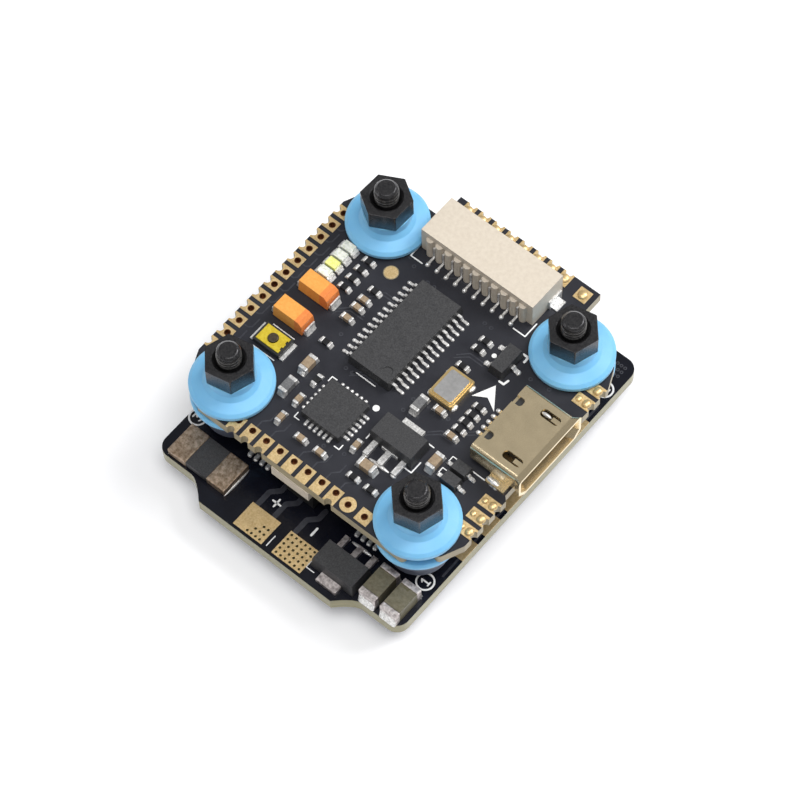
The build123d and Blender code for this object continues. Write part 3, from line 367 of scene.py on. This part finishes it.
class Piece:
    """Gathers shapes, in mm, into one mesh that rides on the stack."""

    def __init__(self, name, look, slot=None):
        self.name, self.look, self.slot = name, look, slot
        self.mesh = bmesh.new()

    def skin(self, rings, wrap=False):
        """Joins rings of points, each with its neighbours; the ends are closed, or joined by wrap."""
        made = [[self.mesh.verts.new(Vector(p) * MM) for p in ring] for ring in rings]
        pairs = list(zip(made, made[1:])) + ([(made[-1], made[0])] if wrap else [])
        for near, far in pairs:
            for i in range(len(near)):
                j = (i + 1) % len(near)
                self.mesh.faces.new((near[i], near[j], far[j], far[i]))
        if not wrap:
            self.mesh.faces.new(made[0][::-1])
            self.mesh.faces.new(made[-1])

    def plate(self, points, z, height):
        """A flat outline raised from the plane z."""
        self.skin([[(x, y, z) for x, y in points], [(x, y, z + height) for x, y in points]])

    def disc(self, x, y, radius, z, height, sides=24):
        turns = [2 * pi * i / sides for i in range(sides)]
        self.plate([(x + radius * cos(t), y + radius * sin(t)) for t in turns], z, height)

    def line(self, start, end, width, z, height):
        """A flat line with round ends."""
        dx, dy = end[0] - start[0], end[1] - start[1]
        length = hypot(dx, dy)
        along, across = (dx / length, dy / length), (-dy / length, dx / length)
        points = []
        for centre, first in ((end, -90), (start, 90)):
            for turn in range(first, first + 181, 45):
                a, b = cos(radians(turn)) * width / 2, sin(radians(turn)) * width / 2
                points.append([centre[i] + along[i] * a + across[i] * b for i in (0, 1)])
        self.plate(points, z, height)

    def path(self, points, width, z, height):
        """A line through all the points."""
        for step, (start, end) in enumerate(zip(points, points[1:])):
            self.line(start, end, width, z, height * (1 + 0.12 * step))  # no two faces share a plane

    def turned(self, x, y, outline, sides=28):
        """A closed (radius, height) outline turned about an upright axis at x, y."""
        rings = []
        for i in range(sides):
            t = 2 * pi * i / sides
            rings.append([(x + r * cos(t), y + r * sin(t), z) for r, z in outline])
        self.skin(rings, wrap=True)

    def ring(self, x, y, inner, outer, z, height, sides=28):
        self.turned(x, y, [(inner, z), (outer, z), (outer, z + height), (inner, z + height)], sides)

    def dome(self, x, y, z, long, wide, height):
        """A low mound of solder, long by wide, on the plane z; a negative height hangs down."""
        sides = 14
        rings = []
        for lift in (0, 25, 50, 72, 88):
            shrink, up = cos(radians(lift)), sin(radians(lift)) * height
            turns = [2 * pi * i / sides * (1 if height > 0 else -1) for i in range(sides)]
            a, b = long / 2 * shrink, wide / 2 * shrink
            rings.append([(x + a * cos(t), y + b * sin(t), z + up) for t in turns])
        self.skin(rings)

    def wedge(self, x, y, z, way, reach, wide, height):
        """A hollow-faced fillet of solder that leans on an end face at x, y and runs out along way."""
        profile = [(-0.02, 0), (reach, 0), (reach * 0.72, height * 0.12), (reach * 0.38, height * 0.38)]
        profile += [(reach * 0.14, height * 0.8), (-0.02, height)]
        rings = []
        for side, grow in ((-0.5, 0.7), (-0.38, 1.0), (0.38, 1.0), (0.5, 0.7)):
            ring = []
            for out, up in profile:
                a, b = out * grow, side * wide
                ring.append((x + way[0] * a - way[1] * b, y + way[1] * a + way[0] * b, z + up * grow))
            rings.append(ring)
        self.skin(rings)

    def thread(self, x, y, radius, depth, low, high, pitch):
        """A ridge that winds about an upright axis from low to high and fades out at its ends."""
        steps = 20
        turns = (high - low - 0.5 * pitch) / pitch
        count = int(turns * steps)
        rings = []
        for i in range(count + 1):
            t = 2 * pi * i / steps
            z = low + 0.25 * pitch + pitch * i / steps
            root, crest = radius - 0.03, radius + depth * min(1.0, i / 4, (count - i) / 4)
            profile = ((root, -0.32), (crest, -0.06), (crest, 0.06), (root, 0.32))
            rings.append([(x + r * cos(t), y + r * sin(t), z + up * pitch) for r, up in profile])
        self.skin(rings)

    def finish(self, smooth=40):
        """Makes the object; edges that turn by more than smooth degrees stay sharp."""
        bmesh.ops.recalc_face_normals(self.mesh, faces=self.mesh.faces)
        data = bpy.data.meshes.new(self.name)
        self.mesh.to_mesh(data)
        self.mesh.free()
        data.shade_smooth()
        data.set_sharp_from_angle(angle=radians(smooth))
        data.materials.append(LOOK[self.look].material)
        made = bpy.data.objects.new(self.name, data)
        bpy.context.scene.collection.objects.link(made)
        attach(made, STACK)


# Lengths in mm.
PRINT = 0.015  # thickness of the printed legend
TRACE = 0.012  # how far a copper track lifts the solder mask
SOLDER_SMOOTH = 60  # degrees
THREAD_R, THREAD_DEPTH, THREAD_PITCH = 0.98, 0.11, 0.4
THREAD_IN_NUT = 0.45  # how far the ridge goes down into the nut's mouth
THREAD_SHORT = 0.16  # how far it stops below the tip
VIA_R, LINING_R, PLUG_R = 0.3, 0.245, 0.26
SIDE_VIA_INSET, REAR_VIA_INSET, RING_VIA_INSET = 0.8, 1.1, 0.9
NEAR_VIAS_X = 4  # past this x the -Y edge's holes lie nearer the edge
EDGE_PITCH = 1.5
CRYSTAL_RIM, CRYSTAL_CORNER = 0.19, 0.16


def middle(box):
    return (box[0] + box[1]) / 2


def nearest(places, to):
    return min(places, key=lambda box: (middle(box) - to).length)


def outward(box, body, by_length=False):
    """The level direction in which an end or a lead leaves its body."""
    away = middle(box) - middle(body)
    size = box[1] - box[0]
    along_x = size.x > size.y if by_length else abs(away.x) > abs(away.y)
    return (1 if away.x > 0 else -1, 0) if along_x else (0, 1 if away.y > 0 else -1)


END_PAIRS = {
    "resistor_ends": "resistors",
    "small_capacitor_ends": "small_capacitors",
    "large_capacitor_ends": "large_capacitors",
    "power_capacitor_ends": "power_capacitors",
    "bead_ends": "beads",
    "lamp_ends": "lamp_bases",
    "tantalum_terminals": "tantalum_bodies",
    "diode_leads": "diode_bodies",
}
LEAD_PAIRS = {
    "overlay_chip_leads": "overlay_chip",
    "upper_regulator_leads": "upper_regulator",
    "small_regulator_leads": "small_regulator",
    "lower_regulator_leads": "lower_regulator",
    "motion_sensor_pads": "motion_sensor",
    "processor_pads": "processor",
    "power_transistor_leads": "power_transistors",
    "shunt_ends": "shunt_strip",
}


def hangs(box):
    """True for a piece under either board, whose solder is at its top."""
    return box[1].z < LOWER_TOP - 0.5 or abs(box[1].z - UPPER_UNDER) < 0.05


def make_end_solder():
    """A solder fillet at the foot of every chip's end."""
    solder = Piece("end_solder", "tin", "tinned_lead")
    for ends, bodies in END_PAIRS.items():
        bodies = solids(bodies)
        for box in solids(ends):
            way = outward(box, nearest(bodies, middle(box)))
            size = box[1] - box[0]
            reach = (size.x if way[0] else size.y) / 2
            wide = size.y if way[0] else size.x
            foot, height = (box[1].z, -size.z * 0.6) if hangs(box) else (box[0].z, size.z * 0.6)
            x, y = middle(box).x + way[0] * reach, middle(box).y + way[1] * reach
            solder.wedge(x, y, foot, way, min(0.24, 0.14 + size.z * 0.1), wide * 0.96, height)
    solder.finish(SOLDER_SMOOTH)


def make_lead_solder():
    """A small mound of solder on every lead's foot, and bigger ones beside the micro socket's shell."""
    solder = Piece("lead_solder", "tin", "tinned_lead")
    for leads, bodies in LEAD_PAIRS.items():
        bodies = solids(bodies)
        for box in solids(leads):
            way = outward(box, nearest(bodies, middle(box)), by_length=leads != "shunt_ends")
            size = box[1] - box[0]
            reach = (size.x if way[0] else size.y) / 2 - 0.04
            wide = size.y if way[0] else size.x
            foot, height = (box[1].z, -0.14) if hangs(box) else (box[0].z, 0.14)
            x, y = middle(box).x + way[0] * reach, middle(box).y + way[1] * reach
            long, across = (0.36, wide + 0.1) if way[0] else (wide + 0.1, 0.36)
            solder.dome(x, y, foot, long, across, height)
    for low, high in solids("cable_socket_contacts"):
        solder.dome((low.x + high.x) / 2, low.y + 0.1, TOP, 0.42, 0.5, 0.22)
    shell_low, shell_high = box_mm("micro_socket_shell")
    for box in solids("micro_socket_contacts"):
        solder.dome(box[0].x + 0.1, middle(box).y, TOP, 0.5, 0.42, 0.2)
    for side, y in ((-1, shell_low.y), (1, shell_high.y)):
        for shift, long, wide, height in ((0, 1.5, 0.8, 0.42), (0.35, 0.8, 0.9, 0.3), (-0.4, 0.9, 0.6, 0.5)):
            solder.dome(shell_high.x - 2.5 + shift, y - side * 0.35, TOP, long, wide, height)
    solder.finish(SOLDER_SMOOTH)


def make_pad_solder():
    """Mounds of tinned gold: two on each pad along the +X edge, one on each pad along the +Y edge."""
    mounds = Piece("pad_mounds", "gold", "gold_plate")
    edge = box_mm("upper_board")[1].x
    for low, high in solids("upper_board_pads"):
        if high.x > edge - 0.2 and high.x - low.x > 1.0:
            y = (low.y + high.y) / 2
            mounds.dome(edge - 1.32, y, PAD_TOP, 0.6, 0.6, 0.16)
            mounds.dome(edge - 0.5, y, PAD_TOP, 0.8, 0.86, 0.26)
        elif low.y > 13.5 and 1.0 < high.x - low.x < 1.6:
            mounds.dome((low.x + high.x) / 2, (low.y + high.y) / 2, PAD_TOP, 0.95, 0.95, 0.24)
    mounds.finish(SOLDER_SMOOTH)


def make_barrels():
    """The plated linings of the holes in the upper board's edge pads, each closed by a thin plug; their dark
    copper-brown is partly the plating's own tone and partly painted shade inside the holes.
    """
    barrels = Piece("hole_barrels", "barrel", "gold_plate")
    low = box_mm("upper_board")[0]
    pads = solids("upper_board_pads")
    places = [(low.x + SIDE_VIA_INSET, middle(pad).y) for pad in pads if pad[1].x < low.x + 2]
    for x in [middle(pad).x for pad in pads if pad[1].y < low.y + 3]:
        places.append((x, low.y + (REAR_VIA_INSET if x < NEAR_VIAS_X else RING_VIA_INSET)))
    for x, y in places:
        barrels.ring(x, y, LINING_R, VIA_R, UPPER_UNDER, PAD_TOP - UPPER_UNDER - 0.01, 20)
        barrels.disc(x, y, PLUG_R, UPPER_UNDER + 0.25, 0.1, 20)
    barrels.finish()


def make_threads():
    """The screws' thread above the nuts."""
    threads = Piece("screw_threads", "thread", "black_steel")
    low, high = box_mm("nuts")[1].z - THREAD_IN_NUT, box_mm("screws")[1].z - THREAD_SHORT
    for corner in CORNERS:
        threads.thread(corner.x, corner.y, THREAD_R, THREAD_DEPTH, low, high, THREAD_PITCH)
    threads.finish(70)


def make_crystal_plate():
    """The grey middle of the crystal's gilt lid, and the solder at its base's four corners."""
    low, high = box_mm("crystal_lid")
    plate = Piece("crystal_plate", "grey", "crystal_steel")
    x0, y0 = low.x + CRYSTAL_RIM, low.y + CRYSTAL_RIM
    x1, y1 = high.x - CRYSTAL_RIM, high.y - CRYSTAL_RIM
    cut = CRYSTAL_CORNER
    outline = [(x0 + cut, y0), (x1 - cut, y0), (x1, y0 + cut), (x1, y1 - cut)]
    outline += [(x1 - cut, y1), (x0 + cut, y1), (x0, y1 - cut), (x0, y0 + cut)]
    plate.plate(outline, high.z - 0.01, 0.022)
    plate.finish()
    low, high = box_mm("crystal_base")
    pads = Piece("crystal_solder", "tin", "tinned_lead")
    for x in (low.x, high.x):
        for y in (low.y + 0.45, high.y - 0.45):
            pads.dome(x, y, TOP, 0.5, 0.8, 0.16)
    pads.finish(SOLDER_SMOOTH)


ARROW = ((6.95, 3.72), (6.0, 1.7), (7.15, 2.4), (8.4, 1.7))  # its tip first


def hook(piece, x, y, along_x, along_y, width, y_first=False):
    """An L-shaped mark on the upper board, cornered at x, y; the arm that isn't first lies over the other."""
    start, end = (x + along_x, y), (x, y + along_y)
    if y_first:
        start, end = end, start
    piece.path([start, (x, y), end], width, TOP, PRINT)


def make_upper_legend():
    """White print on the upper board: outlines, pin-one dots and the arrow, without any lettering."""
    legend = Piece("upper_legend", "legend")
    legend.plate(ARROW, TOP, PRINT)
    low, high = box_mm("motion_sensor")
    gap, arm = 0.42, 0.5
    hook(legend, low.x - gap, low.y - gap, arm, arm, 0.1)
    hook(legend, high.x + gap, low.y - gap, -arm, arm, 0.1)
    hook(legend, low.x - gap, high.y + gap, arm, -arm, 0.1)
    legend.disc(high.x + 0.3, high.y + 0.45, 0.3, TOP, PRINT)
    low, high = box_mm("upper_regulator")
    hook(legend, low.x - 0.2, high.y + 0.25, high.x - low.x + 0.35, -1.05, 0.11)
    hook(legend, high.x + 0.2, low.y - 0.2, -1.0, 1.2, 0.11, y_first=True)
    legend.line((low.x - 0.2, low.y + 0.9), (low.x - 0.2, low.y - 0.1), 0.11, TOP, PRINT)
    low, high = box_mm("small_regulator")
    legend.disc(low.x - 0.5, (low.y + high.y) / 2, 0.22, TOP, PRINT)
    hook(legend, high.x + 0.3, high.y + 0.2, -0.5, -0.55, 0.2, y_first=True)
    slanted = [(high.x + 0.4, low.y + 0.35), (high.x + 0.3, low.y - 0.15), (high.x - 0.15, low.y - 0.15)]
    legend.path(slanted, 0.2, TOP, PRINT)
    low, high = box_mm("overlay_chip")
    legend.line((low.x + 1.2, low.y - 0.32), (high.x - 1.2, low.y - 0.32), 0.1, TOP, PRINT)
    low, high = box_mm("cable_socket_housing")
    hook(legend, low.x - 0.2, low.y - 0.85, 1.25, 1.45, 0.12, y_first=True)
    hook(legend, high.x + 0.2, low.y - 0.85, -1.25, 1.55, 0.12)
    low, high = box_mm("micro_socket_shell")
    legend.line((low.x + 0.1, low.y + 0.1), (high.x - 1.4, low.y + 0.1), 0.11, TOP, PRINT)
    for low, high in solids("diode_bodies"):
        hook(legend, low.x - 0.62, high.y + 0.1, 0.42, -0.55, 0.09)
    low, high = box_mm("button_base")
    for y in (low.y - 0.3, high.y + 0.3):
        legend.line((low.x + 0.3, y), (high.x - 0.3, y), 0.09, TOP, PRINT)
    legend.finish()


# The strokes of each ringed number, as points about its middle.
DIGITS = {
    1: [[(-0.18, 0.2), (0.02, 0.38), (0.02, -0.38)], [(-0.16, -0.38), (0.2, -0.38)]],
    2: [[(-0.22, 0.2), (-0.1, 0.37), (0.12, 0.37), (0.23, 0.18), (-0.22, -0.38), (0.24, -0.38)]],
    3: [[(-0.22, 0.38), (0.2, 0.38), (-0.02, 0.06), (0.2, -0.05), (0.2, -0.28), (0, -0.4), (-0.22, -0.3)]],
    4: [[(0.1, -0.4), (0.1, 0.4), (-0.26, -0.12), (0.26, -0.12)]],
}


RING_PLACES = {1: (12.1, -11.7), 2: (12.3, 11.7), 3: (-12.5, -12.1), 4: (-12.3, 11.7)}


def make_lower_legend():
    """White print on the lower board: numbered rings, plus, minus, and lines beside the pads and parts."""
    legend = Piece("lower_legend", "legend")
    z = LOWER_TOP
    for number, (x, y) in RING_PLACES.items():
        legend.ring(x, y, 0.68, 0.84, z, PRINT)
        for stroke in DIGITS[number]:
            legend.path([(x - v, y + u) for u, v in stroke], 0.14, z, PRINT)
    legend.line((-2.45, -14.0), (-1.65, -14.0), 0.17, z, PRINT)
    legend.line((-2.05, -14.4), (-2.05, -13.6), 0.17, z, PRINT)
    legend.line((2.1, -14.45), (2.1, -13.65), 0.2, z, PRINT)
    legend.line((-0.15, -17.5), (-0.15, -16.4), 0.09, z, PRINT)
    for low, high in solids("power_capacitors"):
        legend.line((low.x, high.y + 0.45), (high.x, high.y + 0.45), 0.08, z, PRINT)
    low, high = box_mm("lower_regulator")
    outline = [(low.x - 0.25, high.y + 0.3), (low.x - 0.25, low.y - 0.3), (low.x + 0.6, low.y - 0.3)]
    legend.path(outline, 0.09, z, PRINT)
    legend.finish()


# Where the upper board's paired tracks start, and the covered vias that stand alone.
TRACK_PAIRS = ((-3.0, -2.9), (-3.0, 9.1), (2.6, 3.9), (8.0, -1.1), (5.4, -3.2), (-6.6, 3.9), (-7.9, 1.0))
LONE_VIAS = [(5.2, -0.6), (5.9, -1.2), (-6.4, 8.7), (-5.6, 8.2), (-6.1, -0.7)]
LONE_VIAS += [(10.6, 6.2), (8.8, 6.0), (-0.4, -9.6), (1.4, -9.1)]


def make_tracks():
    """Copper tracks and covered vias that lift both boards' masks a little."""
    tracks = Piece("covered_tracks", "track", "solder_mask")
    side = box_mm("upper_board")[0].x + 1.3
    for i in range(12):
        y = -8.1 + EDGE_PITCH * i
        turn = side + 0.55 + 0.1 * (i % 3)
        tracks.path([(side, y), (turn - 0.25, y), (turn, y + 0.25), (turn, y + 1.15)], 0.13, TOP, TRACE)
    y = -11.8
    for i in (0, 1, 2, 4, 5, 6, 7):
        x = -7.3 + EDGE_PITCH * i
        tracks.path([(x, y), (x, y + 0.7), (x + 0.5, y + 1.2), (x + 0.5, y + 2.0)], 0.13, TOP, TRACE)
    for x, y in TRACK_PAIRS:
        tracks.path([(x, y), (x + 0.8, y + 0.8), (x + 2.2, y + 0.8)], 0.12, TOP, TRACE)
        tracks.path([(x, y - 0.35), (x + 0.95, y + 0.5), (x + 2.3, y + 0.5)], 0.12, TOP, TRACE)
    vias = [(x, y) for x in (-3.7, -3.0, 2.5, 3.2) for y in (-2.9, -1.6, 7.7)]
    for x, y in vias + LONE_VIAS:
        tracks.ring(x, y, 0.08, 0.2, TOP, TRACE, 16)
    for x in (-3.2, -1.4, 0.9):
        tracks.path([(x, -15.0), (x, -13.6), (x + 0.7, -12.9), (x + 0.7, -12.0)], 0.5, LOWER_TOP, TRACE)
    tracks.path([(12.9, -10.4), (12.9, 10.0)], 0.2, LOWER_TOP, TRACE)
    tracks.path([(-12.9, -9.0), (-12.9, 10.0)], 0.2, LOWER_TOP, TRACE)
    for x in (11.6, 12.0, 12.4):
        for y in (13.4, 13.9, 14.4):
            tracks.ring(x, y, 0.07, 0.17, LOWER_TOP, TRACE, 14)
    tracks.finish()


def make_fiducials():
    """The ring of bare laminate round the gold locating dot."""
    ring = Piece("fiducial_ring", "laminate")
    for pad in solids("upper_board_pads"):
        centre = middle(pad)
        if -8 < centre.x < 0 and 4 < centre.y < 9:
            ring.ring(centre.x, centre.y, 0.6, 0.68, TOP, 0.02, 32)
    ring.finish()


def make_socket_spring():
    """The bright spring in the +Y slot of the micro socket's roof."""
    low, high = box_mm("micro_socket_shell")
    centre = (low.y + high.y) / 2
    spring = Piece("micro_socket_spring", "tin", "tinned_lead")
    spring.dome(high.x - 2.35, centre + 2.45, high.z - 0.42, 1.0, 0.34, 0.2)
    spring.finish(SOLDER_SMOOTH)


make_end_solder()
make_lead_solder()
make_pad_solder()
make_barrels()
make_threads()
make_crystal_plate()
make_upper_legend()
make_lower_legend()
make_tracks()
make_fiducials()
make_socket_spring()


# ---------------------------------------------------------------- camera, light and floor

CAMERA_AZIMUTH = radians(42.0)
CAMERA_ELEVATION = radians(61.71)
CAMERA_ROLL = radians(-2.3)
CAMERA_DISTANCE = 288.85  # mm
CAMERA_LENS = 157.5
CAMERA_TARGET = Vector((1.702, -2.357, TOP))  # mm


def make_camera():
    """The three-quarter view from above, at a long focal length."""
    a, e = CAMERA_AZIMUTH, CAMERA_ELEVATION
    right = Vector((cos(a), sin(a), 0))
    up = Vector((-sin(a) * sin(e), cos(a) * sin(e), cos(e)))
    back = right.cross(up)
    turned_right = right * cos(CAMERA_ROLL) + up * sin(CAMERA_ROLL)
    turned_up = up * cos(CAMERA_ROLL) - right * sin(CAMERA_ROLL)
    camera = bpy.data.objects.new("camera", bpy.data.cameras.new("camera"))
    place = (CAMERA_TARGET + back * CAMERA_DISTANCE) * MM
    rotation = Matrix((turned_right, turned_up, back)).transposed().to_4x4()
    camera.matrix_world = Matrix.Translation(place) @ rotation
    camera.data.lens = CAMERA_LENS
    camera.data.sensor_width = 36.0
    camera.data.clip_start = 0.01
    bpy.context.scene.collection.objects.link(camera)
    bpy.context.scene.camera = camera


LIGHT_AIM = Vector((0, 0, 6))  # mm


def area_light(name, place, size, power):
    """A softbox at place, aimed at the object; lengths in mm."""
    light = bpy.data.lights.new(name, "AREA")
    light.shape = "RECTANGLE"
    light.size, light.size_y = size[0] * MM, size[1] * MM
    light.energy = power
    lamp = bpy.data.objects.new(name, light)
    lamp.location = Vector(place) * MM
    lamp.rotation_euler = (Vector(place) - LIGHT_AIM).to_track_quat("Z", "Y").to_euler()
    bpy.context.scene.collection.objects.link(lamp)


def make_studio():
    """Soft light from above and a pale floor at the screw heads' level."""
    area_light("key_light", (120, 235, 270), (200, 200), 1.1)
    area_light("overhead_light", (60, -50, 340), (220, 220), 0.72)
    area_light("fill_light", (-220, -160, 160), (200, 160), 0.12)
    world = bpy.data.worlds.new("studio")
    bpy.context.scene.world = world
    world.use_nodes = True
    world.node_tree.nodes["Background"].inputs["Color"].default_value = (1.0, 1.0, 1.0, 1)
    world.node_tree.nodes["Background"].inputs["Strength"].default_value = 0.27
    bpy.context.scene.view_settings.view_transform = "Standard"
    mesh = bpy.data.meshes.new("floor")
    half = 1.5
    corners = [(-half, -half, 0), (half, -half, 0), (half, half, 0), (-half, half, 0)]
    mesh.from_pydata(corners, [], [(0, 1, 2, 3)])
    floor = bpy.data.objects.new("floor", mesh)
    floor.location.z = box_mm("screws")[0].z * MM
    look = Shader("floor_white")
    look.link(
        look.ramp(look.noise(80.0, 2.0), [(0.3, (0.86, 0.86, 0.87)), (0.7, (0.88, 0.88, 0.89))]),
        look.bsdf.inputs["Base Color"],
    )
    look.set(Roughness=0.4, Emission_Color=(0.96, 0.97, 1.0, 1), Emission_Strength=0.16)
    mesh.materials.append(look.material)
    bpy.context.scene.collection.objects.link(floor)


dress_nodes()
make_camera()
make_studio()
